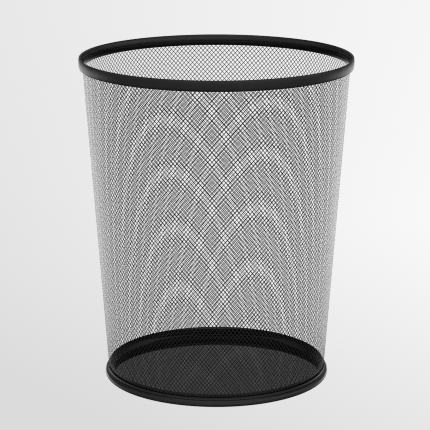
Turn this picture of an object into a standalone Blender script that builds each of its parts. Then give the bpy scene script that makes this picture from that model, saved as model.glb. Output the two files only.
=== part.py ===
"""Round tapered wastebasket of black coated steel mesh, one object for each physical piece.

Five turned pieces share the vertical axis: the mesh wall, the rolled top rim outside its upper
edge, the clamping band inside it, the base pan inside its lower edge and the foot ring outside it.
The frame is in metres with +Z up, and its origin is the centre of the face that the ring stands on.
"""
import math

import bpy

MM = 0.001

# Driving dimensions, in millimetres.
HEIGHT = 352.9
TOP_RADIUS = 147.3
FOOT_RADIUS = 122.9
WALL_FOOT_RADIUS = 118.3
WALL_RADIUS_GAIN = 0.072
SHEET = 0.7
MESH_THICKNESS = 0.8
GAP = 0.3

# Top rim: a rolled channel that is open underneath, where the mesh goes in. Its tilt is in degrees.
RIM_HEIGHT = 11.8
RIM_LIP_RADIUS = 144.0
RIM_SHOULDER_DROP = 7.2
RIM_OUTER_ROUND = 0.9
RIM_LOWER_ROUND = 2.0
RIM_SIDE_TILT = 8.0
RIM_FLANGE_RADIUS = 143.3

# Clamping band on the inner face of the mesh, under the rim's lip.
BAND_TOP = 346.7
BAND_HEIGHT = 5.4

# Mesh wall: its edges end inside the rim and inside the foot ring.
WALL_TOP = 345.7
WALL_BOTTOM = 2.6
WALL_SPANS = 4

# Foot ring: a straight collar, a flared bead and a flat flange to stand on.
RING_TOP = 9.4
COLLAR_BOTTOM = 7.0
COLLAR_CLEARANCE = 0.4
BEAD_WIDEST = 2.2
BEAD_UNDER_RADIUS = 121.3
FLANGE_INNER_RADIUS = 112.5

# Base pan: a pressed floor with an upstand against the mesh.
PAN_TOP = 12.8
PAN_CORNER = 2.0

# How finely the pieces are faceted: round the axis, and along the arcs of a profile.
SEGMENTS = 96
SHOULDER_SPANS = 5
SIDE_SPANS = 2
FLARE_SPANS = 4
CORNER_SPANS = 3
MERGE_DISTANCE = 0.00001

COATING_GREY = 0.012
COATING_ROUGHNESS = 0.28


def clear_scene():
    """Remove every object of the scene that Blender opens with."""
    for thing in list(bpy.data.objects):
        bpy.data.objects.remove(thing, do_unlink=True)


def wall_radius(height):
    """Outer radius of the mesh cone at a height above the ground."""
    return WALL_FOOT_RADIUS + WALL_RADIUS_GAIN * height


def arc(centre, radii, start, end, spans):
    """Points of an elliptic arc in the (radius, height) plane, between two angles in degrees."""
    points = []
    for step in range(spans + 1):
        angle = math.radians(start + (end - start) * step / spans)
        points.append((centre[0] + radii[0] * math.cos(angle),
                       centre[1] + radii[1] * math.sin(angle)))
    return points


def rim_outline():
    """Outer skin of the rolled rim, from its inner lip over the crest to the lower flange.

    The outer side is a flat arc that leans in by RIM_SIDE_TILT at both ends.
    """
    tilt = math.radians(RIM_SIDE_TILT)
    bottom = HEIGHT - RIM_HEIGHT
    side_top = HEIGHT - RIM_OUTER_ROUND * (1.0 - math.sin(tilt))
    side_bottom = bottom + RIM_LOWER_ROUND * (1.0 - math.sin(tilt))
    side_curve = (side_top - side_bottom) / 2.0 / math.sin(tilt)
    side_centre = TOP_RADIUS - side_curve
    crest_radius = side_centre + (side_curve - RIM_OUTER_ROUND) * math.cos(tilt)
    turn_radius = side_centre + (side_curve - RIM_LOWER_ROUND) * math.cos(tilt)
    shoulder = arc((crest_radius, HEIGHT - RIM_SHOULDER_DROP),
                   (crest_radius - RIM_LIP_RADIUS, RIM_SHOULDER_DROP), 180.0, 90.0, SHOULDER_SPANS)
    corner = arc((crest_radius, HEIGHT - RIM_OUTER_ROUND), (RIM_OUTER_ROUND, RIM_OUTER_ROUND),
                 90.0, RIM_SIDE_TILT, CORNER_SPANS)
    side = arc((side_centre, (side_top + side_bottom) / 2.0), (side_curve, side_curve),
               RIM_SIDE_TILT, -RIM_SIDE_TILT, SIDE_SPANS)
    turn = arc((turn_radius, bottom + RIM_LOWER_ROUND), (RIM_LOWER_ROUND, RIM_LOWER_ROUND),
               -RIM_SIDE_TILT, -90.0, CORNER_SPANS)
    return shoulder + corner[1:] + side[1:] + turn[1:] + [(RIM_FLANGE_RADIUS, bottom)]


def band_outline():
    """Outer skin of the clamping band, which follows the taper of the mesh."""
    inset = MESH_THICKNESS + GAP
    heights = (BAND_TOP, BAND_TOP - BAND_HEIGHT)
    return [(wall_radius(height) - inset, height) for height in heights]


def wall_outline():
    """Outer skin of the mesh cone, from its top edge to its bottom edge."""
    heights = [WALL_TOP + (WALL_BOTTOM - WALL_TOP) * span / WALL_SPANS
               for span in range(WALL_SPANS + 1)]
    return [(wall_radius(height), height) for height in heights]


def ring_outline():
    """Outer skin of the foot ring: collar, flared bead, turned-in flange."""
    clearance = COLLAR_CLEARANCE + SHEET
    collar = [(wall_radius(height) + clearance, height) for height in (RING_TOP, COLLAR_BOTTOM)]
    bead_start = collar[-1][0]
    flare = arc((bead_start, BEAD_WIDEST), (FOOT_RADIUS - bead_start, COLLAR_BOTTOM - BEAD_WIDEST),
                90.0, 0.0, FLARE_SPANS)
    under = arc((BEAD_UNDER_RADIUS, BEAD_WIDEST), (FOOT_RADIUS - BEAD_UNDER_RADIUS, BEAD_WIDEST),
                0.0, -90.0, CORNER_SPANS)
    return collar[:1] + flare + under[1:] + [(FLANGE_INNER_RADIUS, 0.0)]


def pan_outline():
    """Outer skin of the base pan, from the top of its upstand to the centre of its underside."""
    inset = MESH_THICKNESS + GAP
    underside = SHEET + GAP
    corner_height = underside + PAN_CORNER
    corner_radius = wall_radius(corner_height) - inset
    corner = arc((corner_radius - PAN_CORNER, corner_height), (PAN_CORNER, PAN_CORNER),
                 0.0, -90.0, CORNER_SPANS)
    half_way = corner[-1][0] / 2.0
    return [(wall_radius(PAN_TOP) - inset, PAN_TOP)] + corner + [(half_way, underside),
                                                                 (0.0, underside)]


def coated_steel(name):
    """Black semi-gloss coating on steel."""
    material = bpy.data.materials.new(name)
    material.use_nodes = True
    shader = material.node_tree.nodes["Principled BSDF"]
    shader.inputs["Base Color"].default_value = (COATING_GREY, COATING_GREY, COATING_GREY, 1.0)
    shader.inputs["Roughness"].default_value = COATING_ROUGHNESS
    shader.inputs["Metallic"].default_value = 0.0
    return material


def turned_sheet(name, outline, thickness, collection):
    """Turn an open outline about Z and thicken it inwards from that outer skin."""
    mesh = bpy.data.meshes.new(name)
    vertices = [(radius * MM, 0.0, height * MM) for radius, height in outline]
    edges = [(index, index + 1) for index in range(len(vertices) - 1)]
    mesh.from_pydata(vertices, edges, [])
    sheet = bpy.data.objects.new(name, mesh)
    collection.objects.link(sheet)

    screw = sheet.modifiers.new("Turn", "SCREW")
    screw.axis = "Z"
    screw.angle = math.tau
    screw.steps = SEGMENTS
    screw.render_steps = SEGMENTS
    screw.use_smooth_shade = True
    screw.use_merge_vertices = True
    screw.merge_threshold = MERGE_DISTANCE

    solidify = sheet.modifiers.new("Thickness", "SOLIDIFY")
    solidify.thickness = thickness * MM
    solidify.offset = -1.0
    solidify.use_even_offset = True

    mesh.materials.append(coated_steel(name + "_coating"))
    return sheet


def build():
    """Make the five pieces in one collection."""
    clear_scene()
    collection = bpy.data.collections.new("wastebasket")
    bpy.context.scene.collection.children.link(collection)
    turned_sheet("wall_mesh", wall_outline(), MESH_THICKNESS, collection)
    turned_sheet("top_rim", rim_outline(), SHEET, collection)
    turned_sheet("rim_inner_band", band_outline(), SHEET, collection)
    turned_sheet("base_pan", pan_outline(), SHEET, collection)
    turned_sheet("foot_ring", ring_outline(), SHEET, collection)


build()
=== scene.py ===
"""Studio picture of a round mesh wastebasket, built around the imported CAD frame.

The CAD solids hold the sizes. This script puts the fine surface on them: a wall of expanded
steel mesh with every diamond cut through, and turned sheet pieces with rounded edges, all with a
black coat. Lengths are in metres, +Z is up, and the basket stands at the origin.
"""
import math

import bpy
import numpy as np
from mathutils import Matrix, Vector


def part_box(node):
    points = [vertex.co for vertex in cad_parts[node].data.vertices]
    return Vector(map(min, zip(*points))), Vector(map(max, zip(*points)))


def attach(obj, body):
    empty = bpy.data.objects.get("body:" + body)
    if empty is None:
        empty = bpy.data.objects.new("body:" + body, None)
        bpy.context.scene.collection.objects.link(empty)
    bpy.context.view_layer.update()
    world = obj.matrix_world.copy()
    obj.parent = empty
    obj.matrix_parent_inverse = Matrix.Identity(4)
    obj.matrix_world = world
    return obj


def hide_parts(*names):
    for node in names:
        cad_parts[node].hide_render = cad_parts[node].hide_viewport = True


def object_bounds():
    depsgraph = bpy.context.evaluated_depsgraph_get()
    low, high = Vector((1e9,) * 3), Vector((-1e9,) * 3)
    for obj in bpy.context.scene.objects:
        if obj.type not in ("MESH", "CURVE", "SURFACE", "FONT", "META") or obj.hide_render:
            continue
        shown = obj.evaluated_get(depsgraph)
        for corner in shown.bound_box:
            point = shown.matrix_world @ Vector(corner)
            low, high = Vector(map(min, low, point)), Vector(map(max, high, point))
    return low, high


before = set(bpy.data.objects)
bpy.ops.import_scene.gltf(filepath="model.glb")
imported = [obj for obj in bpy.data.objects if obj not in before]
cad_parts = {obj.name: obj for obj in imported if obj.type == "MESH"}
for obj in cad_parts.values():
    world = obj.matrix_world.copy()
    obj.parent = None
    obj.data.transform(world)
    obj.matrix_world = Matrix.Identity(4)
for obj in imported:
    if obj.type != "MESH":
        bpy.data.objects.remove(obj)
cad_low, cad_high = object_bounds()

MM = 0.001

# Mesh wall: a cone of diamonds, with as many in every row, so that they widen towards the top.
# STRAND_SHARE is a strand's width as a share of a diamond's. The lattice is turned to the left by
# FIRST_DIAMOND diamonds and lowered by ROW_OFFSET rows, by ROW_TILT more in front and less behind.
# SHEET_STRETCH and SHEET_SKEW, in radians, make it a little uneven round the axis.
WALL_TAPER = 0.072
DIAMONDS_ROUND = 183
ROW_PITCH = 5.3838 * MM
STRAND_SHARE = 0.137
STRAND_THICKNESS = 0.08 * MM
STRAND_CROWN = 0.025 * MM
FIRST_DIAMOND = 0.413
ROW_OFFSET = 0.131
ROW_TILT = 0.0722
SHEET_STRETCH = 0.0032
SHEET_SKEW = -0.0008
WALL_SECTORS = 4
MESH_SMOOTH_ANGLE = 50.0

# Sheet pieces: how thick, and how finely turned and rounded. Edges flatter than the angle, in
# degrees, are shaded smooth.
SHEET = 0.7 * MM
SEGMENTS = 288
ARC_SPANS = 8
EDGE_SPANS = 4
SHEET_SMOOTH_ANGLE = 40.0

# Rolled rim. Depths are from its outer side, which leans in by the tilt, in degrees, at its ends.
RIM_LIP_DEPTH = 3.3 * MM
RIM_SHOULDER_DROP = 7.2 * MM
RIM_OUTER_ROUND = 0.9 * MM
RIM_LOWER_ROUND = 2.0 * MM
RIM_SIDE_TILT = 8.0
RIM_FLANGE_DEPTH = 4.25 * MM

# Foot ring: a collar outside the mesh, a flared bead and a flange.
COLLAR_CLEARANCE = 0.4 * MM
COLLAR_BOTTOM = 7.0 * MM
COLLAR_FILLET = 1.0 * MM
BEAD_WIDEST = 2.2 * MM
BEAD_UNDER_DEPTH = 1.6 * MM
FLANGE_INNER_RADIUS = 112.5 * MM

# Base pan: the corner under its upstand, and the rings of its floor as shares of its radius.
PAN_CORNER = 0.8 * MM
PAN_RINGS = (0.75, 0.5, 0.25, 0.0)

# Camera: where it stands, how many degrees it looks down, its long lens and sensor in millimetres,
# and how many pixels wide each picture sample is spread.
CAMERA_DISTANCE = 2.0714
CAMERA_HEIGHT = 0.7059
CAMERA_PITCH = 14.325
LENS = 164.2
SENSOR = 36.0
SHIFT = (-0.00324, 0.00134)
CLIP_END = 100.0
FILTER_WIDTH = 1.15

# Black coats: the sizes of their patches of tone and gloss and of the sheet's waves, the part of
# a noise's range that is used, and the refractive index. The index is lower for the band as
# painted shade: it dims the band's reflections to stand in for the shade it sits in under the rim.
TONE_SIZE = 9 * MM
GLOSS_SIZE = 4 * MM
GLOSS_DETAIL = 4.0
WAVE_SIZE = 30 * MM
WAVE_DETAIL = 1.0
NOISE_RANGE = (0.3, 0.7)
COAT_INDEX = 1.5
SHADED_BAND_INDEX = 1.25

# Floor: how far under the ring it lies, how far it reaches, how it takes light, and its glow,
# which is painted light and fades towards the front and the left, within limits, as painted
# fall-off.
FLOOR_DROP = 0.05 * MM
FLOOR_REACH = 30.0
FLOOR_DIFFUSE = 0.08
FLOOR_GLOW = 0.83
FLOOR_GLOW_LIMITS = (0.68, 0.96)
FLOOR_BRIGHT_FROM = 0.84
FLOOR_NEAR_FADE = 0.12
FLOOR_SIDE_FADE = 0.35
FLOOR_SIDE_START = 0.66
FLOOR_SIDE_SPREAD = 0.64

# Room light: an even level, the tone that the camera sees, and soft panels of light. Each panel
# has the azimuth from +X and the elevation of its centre, its half width and half height (all in
# degrees), and a strength. It fades out between the two FADE_SHARES of its half size.
FADE_SHARES = (0.5, 1.5)
ROOM_LIGHT = 0.08
ROOM_TONE = 0.86
PANELS = {
    "window, front right": (-45.0, 12.0, 65.0, 13.0, 0.85),
    "window, front left": (-150.0, 12.0, 45.0, 13.0, 0.5),
    "floor in front": (-90.0, -17.0, 85.0, 11.0, 0.36),
    "ceiling": (-90.0, 56.0, 80.0, 22.0, 0.78),
    "backdrop": (90.0, 17.0, 40.0, 12.0, 0.28),
    "foot of the backdrop": (90.0, -13.5, 68.0, 5.0, 1.4),
}


# ---------------------------------------------------------------- sections

def arc(centre, radii, start, end, spans=ARC_SPANS):
    """Points of an elliptic arc in the (radius, height) plane, between two angles in degrees."""
    angles = np.radians(np.linspace(start, end, spans + 1))
    return [(centre[0] + radii[0] * math.cos(a), centre[1] + radii[1] * math.sin(a))
            for a in angles]


def fillet(before, corner, after, radius, spans=EDGE_SPANS):
    """Points of an arc of that radius that rounds the corner between two straight runs."""
    corner = np.array(corner)
    one = np.array(before) - corner
    two = np.array(after) - corner
    one = one / np.linalg.norm(one)
    two = two / np.linalg.norm(two)
    half = math.acos(float(np.clip(one @ two, -1.0, 1.0))) / 2.0
    middle = (one + two) / np.linalg.norm(one + two)
    centre = corner + middle * radius / math.sin(half)
    first = corner + one * radius / math.tan(half) - centre
    last = corner + two * radius / math.tan(half) - centre
    angle = math.atan2(first[1], first[0])
    sweep = math.atan2(last[1], last[0]) - angle
    sweep = (sweep + math.pi) % math.tau - math.pi
    return [(centre[0] + radius * math.cos(angle + sweep * t / spans),
             centre[1] + radius * math.sin(angle + sweep * t / spans)) for t in range(spans + 1)]


def sheet_section(skin, thickness=SHEET):
    """Closed section of a sheet whose outer skin is given, with round cut edges.

    The skin runs so that the metal is on its right-hand side, and the ends are shortened by half
    the thickness, so that the round edges end where the skin did.
    """
    skin = np.array(skin)
    for end, inner in ((0, 1), (-1, -2)):
        run = skin[inner] - skin[end]
        if skin[end][0] > 0.0:
            skin[end] += run / np.linalg.norm(run) * thickness / 2.0
    steps = np.diff(skin, axis=0)
    steps /= np.linalg.norm(steps, axis=1)[:, None]
    normals = np.stack([steps[:, 1], -steps[:, 0]], axis=1)
    mitres = np.vstack([normals[:1], normals[:-1] + normals[1:], normals[-1:]])
    mitres[1:-1] /= (1.0 + np.sum(normals[:-1] * normals[1:], axis=1))[:, None]
    back = skin + mitres * thickness
    section = list(skin)
    section += edge_round(skin[-1], back[-1], steps[-1])
    section += list(back[::-1])
    section += edge_round(back[0], skin[0], -steps[0])
    return section


def edge_round(start, end, outward):
    """Points of the half circle from start to end that bulges outward, without those two."""
    if start[0] <= 0.0:
        return []
    middle = (start + end) / 2.0
    arm = start - middle
    reach = np.linalg.norm(arm) * outward
    turns = np.pi * np.arange(1, EDGE_SPANS * 2) / (EDGE_SPANS * 2)
    return [middle + arm * math.cos(t) + reach * math.sin(t) for t in turns]


# ---------------------------------------------------------------- pieces

def finish_piece(name, vertices, faces, material, node, smooth_angle):
    """Make the mesh object, shade it, and stand it in for its CAD node."""
    mesh = bpy.data.meshes.new(name)
    mesh.from_pydata(vertices, [], faces)
    mesh.validate()
    mesh.shade_smooth()
    mesh.set_sharp_from_angle(angle=math.radians(smooth_angle))
    mesh.materials.append(material)
    piece = bpy.data.objects.new(name, mesh)
    bpy.context.scene.collection.objects.link(piece)
    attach(piece, "root")
    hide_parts(node)
    return piece


def turned_piece(name, section, material, node):
    """Turn a closed section about Z. Section points on the axis become one vertex each."""
    turns = math.tau * np.arange(SEGMENTS) / SEGMENTS
    vertices = []
    rings = []
    for radius, height in section:
        start = len(vertices)
        if radius <= 0.0:
            vertices.append((0.0, 0.0, height))
            rings.append([start] * SEGMENTS)
        else:
            vertices += [(radius * math.cos(t), radius * math.sin(t), height) for t in turns]
            rings.append(list(range(start, start + SEGMENTS)))
    faces = []
    for here, there in zip(rings, rings[1:] + rings[:1]):
        for step in range(SEGMENTS):
            after = (step + 1) % SEGMENTS
            corners = [here[step], there[step], there[after], here[after]]
            corners = list(dict.fromkeys(corners))
            if len(corners) > 2:
                faces.append(corners)
    return finish_piece(name, vertices, faces, material, node, SHEET_SMOOTH_ANGLE)


def wall_radius(height):
    """Outer radius of the mesh cone at a height, from the CAD wall's top edge."""
    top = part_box("wall_mesh")[1]
    return top.x - WALL_TAPER * (top.z - height)


def lattice_points(columns, rows, depth):
    """Lattice points at half diamonds round and half rows up, that deep under the outer skin."""
    angle = math.tau * (columns / 2.0 - FIRST_DIAMOND) / DIAMONDS_ROUND
    tilt = ROW_OFFSET + ROW_TILT * np.cos(angle)
    angle = angle + SHEET_STRETCH * np.sin(2.0 * angle) + SHEET_SKEW * np.cos(angle)
    height = (rows / 2.0 - tilt) * ROW_PITCH / math.hypot(1.0, WALL_TAPER)
    radius = WALL_BASE_RADIUS + WALL_TAPER * height - depth
    return np.stack([radius * np.sin(angle), -radius * np.cos(angle), height], axis=-1)


def mesh_sector(name, first_column, last_column, material):
    """One sector of the expanded mesh: a closed sheet with a hole through every diamond."""
    low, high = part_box("wall_mesh")
    slope = math.hypot(1.0, WALL_TAPER)
    lowest = math.ceil(2.0 * (low.z * slope / ROW_PITCH + ROW_OFFSET + ROW_TILT)) + 1
    highest = math.floor(2.0 * (high.z * slope / ROW_PITCH + ROW_OFFSET - ROW_TILT)) - 1
    holes = np.array([(i, j) for i in range(first_column, last_column)
                      for j in range(lowest, highest + 1) if (i + j) % 2 == 0])
    around = np.array([(1, 0), (0, 1), (-1, 0), (0, -1)])
    corners = holes[:, None, :] + around[None, :, :]

    # One key for each lattice point, so that neighbouring diamonds share their corners.
    width = last_column - first_column + 3
    keys = (corners[..., 1] - lowest + 2) * width + corners[..., 0] - first_column + 1
    _, index, inverse = np.unique(keys, return_index=True, return_inverse=True)
    crossing = corners.reshape(-1, 2)[index]
    inverse = inverse.reshape(keys.shape)

    height = holes[:, 1] / 2.0 * ROW_PITCH / slope
    half_wide = math.pi * (WALL_BASE_RADIUS + WALL_TAPER * height) / DIAMONDS_ROUND
    half_tall = ROW_PITCH / 2.0
    reach = half_wide * half_tall / np.hypot(half_wide, half_tall)
    share = 1.0 - STRAND_SHARE * half_wide / reach
    rims = holes[:, None, :] + around[None, :, :] * share[:, None, None]

    outer = lattice_points(crossing[:, 0], crossing[:, 1], 0.0)
    inner = lattice_points(crossing[:, 0], crossing[:, 1], STRAND_THICKNESS)
    rim_outer = lattice_points(rims[..., 0], rims[..., 1], STRAND_CROWN).reshape(-1, 3)
    rim_inner = lattice_points(rims[..., 0], rims[..., 1],
                               STRAND_THICKNESS - STRAND_CROWN).reshape(-1, 3)
    vertices = np.vstack([outer, inner, rim_outer, rim_inner])

    count = len(crossing)
    c_out = inverse
    c_in = inverse + count
    r_out = 2 * count + np.arange(len(holes) * 4).reshape(-1, 4)
    r_in = r_out + len(holes) * 4

    def following(table):
        return np.roll(table, -1, axis=1)

    faces = [
        np.stack([c_out, following(c_out), following(r_out), r_out], axis=-1),
        np.stack([following(c_in), c_in, r_in, following(r_in)], axis=-1),
        np.stack([r_out, following(r_out), following(r_in), r_in], axis=-1),
    ]
    faces = np.vstack([table.reshape(-1, 4) for table in faces])

    # An edge that only one diamond has is on the border of the sector, and gets a wall.
    starts = c_out.reshape(-1)
    ends = following(c_out).reshape(-1)
    edge_keys = np.minimum(starts, ends) * count + np.maximum(starts, ends)
    _, where, owners = np.unique(edge_keys, return_index=True, return_counts=True)
    border = where[owners == 1]
    starts, ends = starts[border], ends[border]
    walls = np.stack([ends, starts, starts + count, ends + count], axis=-1)
    faces = np.vstack([faces, walls])
    return finish_piece(name, vertices.tolist(), faces.tolist(), material, "wall_mesh",
                        MESH_SMOOTH_ANGLE)


def mesh_wall(material):
    """The whole wall, in sectors so that each stays a mesh of moderate size."""
    bounds = np.linspace(0, 2 * DIAMONDS_ROUND, WALL_SECTORS + 1).round().astype(int)
    for number in range(WALL_SECTORS):
        mesh_sector(f"diamond_mesh_{number + 1}", int(bounds[number]), int(bounds[number + 1]),
                    material)


def top_rim(material):
    """Rolled rim: inner lip, rounded shoulder, slightly convex side, flange turned in below."""
    low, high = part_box("top_rim")
    tilt = math.radians(RIM_SIDE_TILT)
    side_top = high.z - RIM_OUTER_ROUND * (1.0 - math.sin(tilt))
    side_bottom = low.z + RIM_LOWER_ROUND * (1.0 - math.sin(tilt))
    side_curve = (side_top - side_bottom) / 2.0 / math.sin(tilt)
    side_centre = high.x - side_curve
    crest_radius = side_centre + (side_curve - RIM_OUTER_ROUND) * math.cos(tilt)
    turn_radius = side_centre + (side_curve - RIM_LOWER_ROUND) * math.cos(tilt)
    lip_radius = high.x - RIM_LIP_DEPTH
    skin = arc((crest_radius, high.z - RIM_SHOULDER_DROP),
               (crest_radius - lip_radius, RIM_SHOULDER_DROP), 180.0, 90.0, 2 * ARC_SPANS)
    skin += arc((crest_radius, high.z - RIM_OUTER_ROUND), (RIM_OUTER_ROUND, RIM_OUTER_ROUND),
                90.0, RIM_SIDE_TILT)[1:]
    skin += arc((side_centre, (side_top + side_bottom) / 2.0), (side_curve, side_curve),
                RIM_SIDE_TILT, -RIM_SIDE_TILT)[1:]
    skin += arc((turn_radius, low.z + RIM_LOWER_ROUND), (RIM_LOWER_ROUND, RIM_LOWER_ROUND),
                -RIM_SIDE_TILT, -90.0)[1:]
    skin.append((high.x - RIM_FLANGE_DEPTH, low.z))
    turned_piece("rolled_top_rim", sheet_section(skin), material, "top_rim")


def inner_band(material):
    """Plain band that clamps the mesh edge from inside."""
    low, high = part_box("rim_inner_band")
    skin = [(high.x, high.z), (high.x - WALL_TAPER * (high.z - low.z), low.z)]
    turned_piece("clamping_band", sheet_section(skin), material, "rim_inner_band")


def foot_ring(material):
    """Foot ring: collar, flared bead and a flat flange turned in underneath."""
    low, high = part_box("foot_ring")
    clearance = COLLAR_CLEARANCE + SHEET
    top = (wall_radius(high.z) + clearance, high.z)
    corner = (wall_radius(COLLAR_BOTTOM) + clearance, COLLAR_BOTTOM)
    flare = arc((corner[0], BEAD_WIDEST), (high.x - corner[0], COLLAR_BOTTOM - BEAD_WIDEST),
                90.0, 0.0)
    under = arc((high.x - BEAD_UNDER_DEPTH, BEAD_WIDEST), (BEAD_UNDER_DEPTH, BEAD_WIDEST),
                0.0, -90.0)
    skin = [top] + fillet(top, corner, flare[1], COLLAR_FILLET) + flare[1:] + under[1:]
    skin.append((FLANGE_INNER_RADIUS, low.z))
    turned_piece("flared_foot_ring", sheet_section(skin), material, "foot_ring")


def base_pan(material):
    """Pressed pan: an upstand against the mesh, a rounded corner and a flat floor."""
    low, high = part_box("base_pan")
    corner = (high.x - WALL_TAPER * (high.z - low.z), low.z)
    skin = [(high.x, high.z)] + fillet((high.x, high.z), corner, (0.0, low.z), PAN_CORNER,
                                       ARC_SPANS)
    skin += [(corner[0] * share, low.z) for share in PAN_RINGS]
    turned_piece("pressed_base_pan", sheet_section(skin), material, "base_pan")


# ---------------------------------------------------------------- materials

def new_material(name):
    """A material with its node tree, its Principled shader and object coordinates."""
    material = bpy.data.materials.new(name)
    material.use_nodes = True
    tree = material.node_tree
    shader = tree.nodes["Principled BSDF"]
    place = tree.nodes.new("ShaderNodeTexCoord").outputs["Object"]
    return material, tree, shader, place


def noise(tree, place, size, detail=2.0):
    """Noise whose features are about that many metres across."""
    node = tree.nodes.new("ShaderNodeTexNoise")
    node.inputs["Scale"].default_value = 1.0 / size
    node.inputs["Detail"].default_value = detail
    tree.links.new(place, node.inputs["Vector"])
    return node.outputs["Fac"]


def spread(tree, value, low, high):
    """Map the used part of a noise to a range."""
    node = tree.nodes.new("ShaderNodeMapRange")
    node.inputs["From Min"].default_value = NOISE_RANGE[0]
    node.inputs["From Max"].default_value = NOISE_RANGE[1]
    node.inputs["To Min"].default_value = low
    node.inputs["To Max"].default_value = high
    tree.links.new(value, node.inputs["Value"])
    return node.outputs["Result"]


def black_coat(name, grey, roughness, peel_size, peel_height, wave_height=0.0,
               gloss_index=COAT_INDEX):
    """Black baked coat: slightly uneven gloss and the fine orange peel of sprayed enamel.

    Rolled sheet is also a little wavy, which bends the broad reflections.
    """
    material, tree, shader, place = new_material(name)
    shader.inputs["Metallic"].default_value = 0.0
    shader.inputs["IOR"].default_value = gloss_index
    tone = spread(tree, noise(tree, place, TONE_SIZE), grey[0], grey[1])
    colour = tree.nodes.new("ShaderNodeCombineColor")
    for channel in ("Red", "Green", "Blue"):
        tree.links.new(tone, colour.inputs[channel])
    tree.links.new(colour.outputs["Color"], shader.inputs["Base Color"])
    gloss = spread(tree, noise(tree, place, GLOSS_SIZE, GLOSS_DETAIL), roughness[0], roughness[1])
    tree.links.new(gloss, shader.inputs["Roughness"])
    bump = tree.nodes.new("ShaderNodeBump")
    bump.inputs["Distance"].default_value = peel_height
    tree.links.new(noise(tree, place, peel_size), bump.inputs["Height"])
    if wave_height > 0.0:
        wave = tree.nodes.new("ShaderNodeBump")
        wave.inputs["Distance"].default_value = wave_height
        tree.links.new(noise(tree, place, WAVE_SIZE, WAVE_DETAIL), wave.inputs["Height"])
        tree.links.new(wave.outputs["Normal"], bump.inputs["Normal"])
    tree.links.new(bump.outputs["Normal"], shader.inputs["Normal"])
    return material


def maths(tree, operation, *values):
    """A Math node. Each value is a number or a socket."""
    node = tree.nodes.new("ShaderNodeMath")
    node.operation = operation
    for socket, value in zip(node.inputs, values):
        if isinstance(value, (int, float)):
            socket.default_value = value
        else:
            tree.links.new(value, socket)
    return node.outputs["Value"]


def floor_material():
    """Plain pale floor that glows like a light table, so that hardly any shadow falls on it.

    The glow is painted light that stands in for the studio lamps. It is a little darker towards
    the front and towards the left, as painted fall-off of that light.
    """
    material, tree, shader, place = new_material("pale_floor_painted_light")
    shader.inputs["Base Color"].default_value = (FLOOR_DIFFUSE, FLOOR_DIFFUSE, FLOOR_DIFFUSE, 1.0)
    shader.inputs["Roughness"].default_value = 1.0
    shader.inputs["Specular IOR Level"].default_value = 0.0
    shader.inputs["Emission Color"].default_value = (1.0, 1.0, 1.0, 1.0)
    axes = tree.nodes.new("ShaderNodeSeparateXYZ")
    tree.links.new(place, axes.inputs["Vector"])
    across, along = axes.outputs["X"], axes.outputs["Y"]
    # Painted fall-off of the light: the glow is dimmed towards the front and raised towards the
    # right.
    near = maths(tree, "MAXIMUM", maths(tree, "SUBTRACT", FLOOR_BRIGHT_FROM, along), 0.0)
    front = maths(tree, "MULTIPLY", maths(tree, "POWER", near, 2.0), FLOOR_NEAR_FADE)
    reach = maths(tree, "ADD", maths(tree, "MAXIMUM", along, FLOOR_SIDE_START), FLOOR_SIDE_SPREAD)
    side = maths(tree, "MULTIPLY", maths(tree, "DIVIDE", across, reach), FLOOR_SIDE_FADE)
    glow = maths(tree, "ADD", maths(tree, "SUBTRACT", FLOOR_GLOW, front), side)
    low, high = FLOOR_GLOW_LIMITS
    glow = maths(tree, "MINIMUM", maths(tree, "MAXIMUM", glow, low), high)
    tree.links.new(glow, shader.inputs["Emission Strength"])
    return material


# ---------------------------------------------------------------- stage

def stage():
    """A level pale floor that reaches past every view."""
    mesh = bpy.data.meshes.new("floor")
    reach = FLOOR_REACH
    level = cad_low.z - FLOOR_DROP
    mesh.from_pydata([(-reach, -reach, level), (reach, -reach, level), (reach, reach, level),
                      (-reach, reach, level)], [], [(0, 1, 2, 3)])
    mesh.materials.append(floor_material())
    floor = bpy.data.objects.new("floor", mesh)
    bpy.context.scene.collection.objects.link(floor)
    floor.visible_glossy = False


def fade(tree, angle, half_size):
    """Full strength up to the first share of an angle in degrees, and nothing past the second."""
    full, none = FADE_SHARES
    node = tree.nodes.new("ShaderNodeMapRange")
    node.interpolation_type = "SMOOTHSTEP"
    node.inputs["From Min"].default_value = math.radians(half_size * none)
    node.inputs["From Max"].default_value = math.radians(half_size * full)
    tree.links.new(angle, node.inputs["Value"])
    return node.outputs["Result"]


def soft_panel(tree, direction, panel):
    """Light from a soft-edged panel of the room."""
    azimuth, elevation, half_width, half_height, strength = panel
    axes = tree.nodes.new("ShaderNodeSeparateXYZ")
    tree.links.new(direction, axes.inputs["Vector"])
    turn = math.radians(azimuth)
    facing = maths(tree, "ADD", maths(tree, "MULTIPLY", axes.outputs["X"], math.cos(turn)),
                   maths(tree, "MULTIPLY", axes.outputs["Y"], math.sin(turn)))
    level = maths(tree, "SQRT", maths(tree, "SUBTRACT", 1.0,
                                      maths(tree, "POWER", axes.outputs["Z"], 2.0)))
    sideways = maths(tree, "ARCCOSINE", maths(tree, "DIVIDE", facing, level))
    lift = maths(tree, "ARCSINE", axes.outputs["Z"])
    upward = maths(tree, "ABSOLUTE", maths(tree, "SUBTRACT", lift, math.radians(elevation)))
    share = maths(tree, "MULTIPLY", fade(tree, sideways, half_width),
                  fade(tree, upward, half_height))
    return maths(tree, "MULTIPLY", share, strength)


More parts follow.
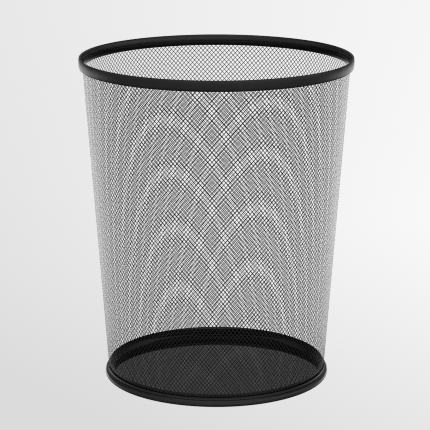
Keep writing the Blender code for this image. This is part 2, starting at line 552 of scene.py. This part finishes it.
def lights():
    """A dim room with soft panels of light. The camera itself sees it evenly pale."""
    world = bpy.data.worlds.new("pale_room")
    world.use_nodes = True
    tree = world.node_tree
    direction = tree.nodes.new("ShaderNodeTexCoord").outputs["Generated"]
    strength = ROOM_LIGHT
    for panel in PANELS.values():
        strength = maths(tree, "ADD", strength, soft_panel(tree, direction, panel))
    seen = tree.nodes.new("ShaderNodeLightPath").outputs["Is Camera Ray"]
    choice = tree.nodes.new("ShaderNodeMix")
    tree.links.new(seen, choice.inputs["Factor"])
    tree.links.new(strength, choice.inputs["A"])
    choice.inputs["B"].default_value = ROOM_TONE
    background = tree.nodes["Background"]
    background.inputs["Color"].default_value = (1.0, 1.0, 1.0, 1.0)
    tree.links.new(choice.outputs["Result"], background.inputs["Strength"])
    bpy.context.scene.world = world


def camera():
    """The camera, level and straight in front, looking a little down."""
    data = bpy.data.cameras.new("camera")
    data.sensor_width = SENSOR
    data.lens = LENS
    data.shift_x, data.shift_y = SHIFT
    data.clip_end = CLIP_END
    holder = bpy.data.objects.new("camera", data)
    holder.location = (0.0, -CAMERA_DISTANCE, CAMERA_HEIGHT)
    holder.rotation_euler = (math.radians(90.0 - CAMERA_PITCH), 0.0, 0.0)
    bpy.context.scene.collection.objects.link(holder)
    bpy.context.scene.camera = holder
    bpy.context.scene.view_settings.view_transform = "Standard"
    bpy.context.scene.cycles.use_denoising = False
    bpy.context.scene.cycles.filter_width = FILTER_WIDTH


WALL_BASE_RADIUS = wall_radius(0.0)

mesh_coat = black_coat("mesh_coat", grey=(0.003, 0.005), roughness=(0.16, 0.26),
                       peel_size=0.5 * MM, peel_height=0.01 * MM)
sheet_coat = black_coat("sheet_coat", grey=(0.003, 0.006), roughness=(0.27, 0.35),
                        peel_size=0.6 * MM, peel_height=0.012 * MM, wave_height=0.6 * MM)
# The band's coat is a shaded copy of the coat: its darker grey and lower index are painted shade.
band_coat = black_coat("band_coat", grey=(0.002, 0.004), roughness=(0.12, 0.2),
                       peel_size=0.6 * MM, peel_height=0.004 * MM, gloss_index=SHADED_BAND_INDEX)
pan_coat = black_coat("pan_coat", grey=(0.002, 0.004), roughness=(0.02, 0.04),
                      peel_size=2.5 * MM, peel_height=0.001 * MM)

mesh_wall(mesh_coat)
top_rim(sheet_coat)
inner_band(band_coat)
foot_ring(sheet_coat)
base_pan(pan_coat)
stage()
lights()
camera()
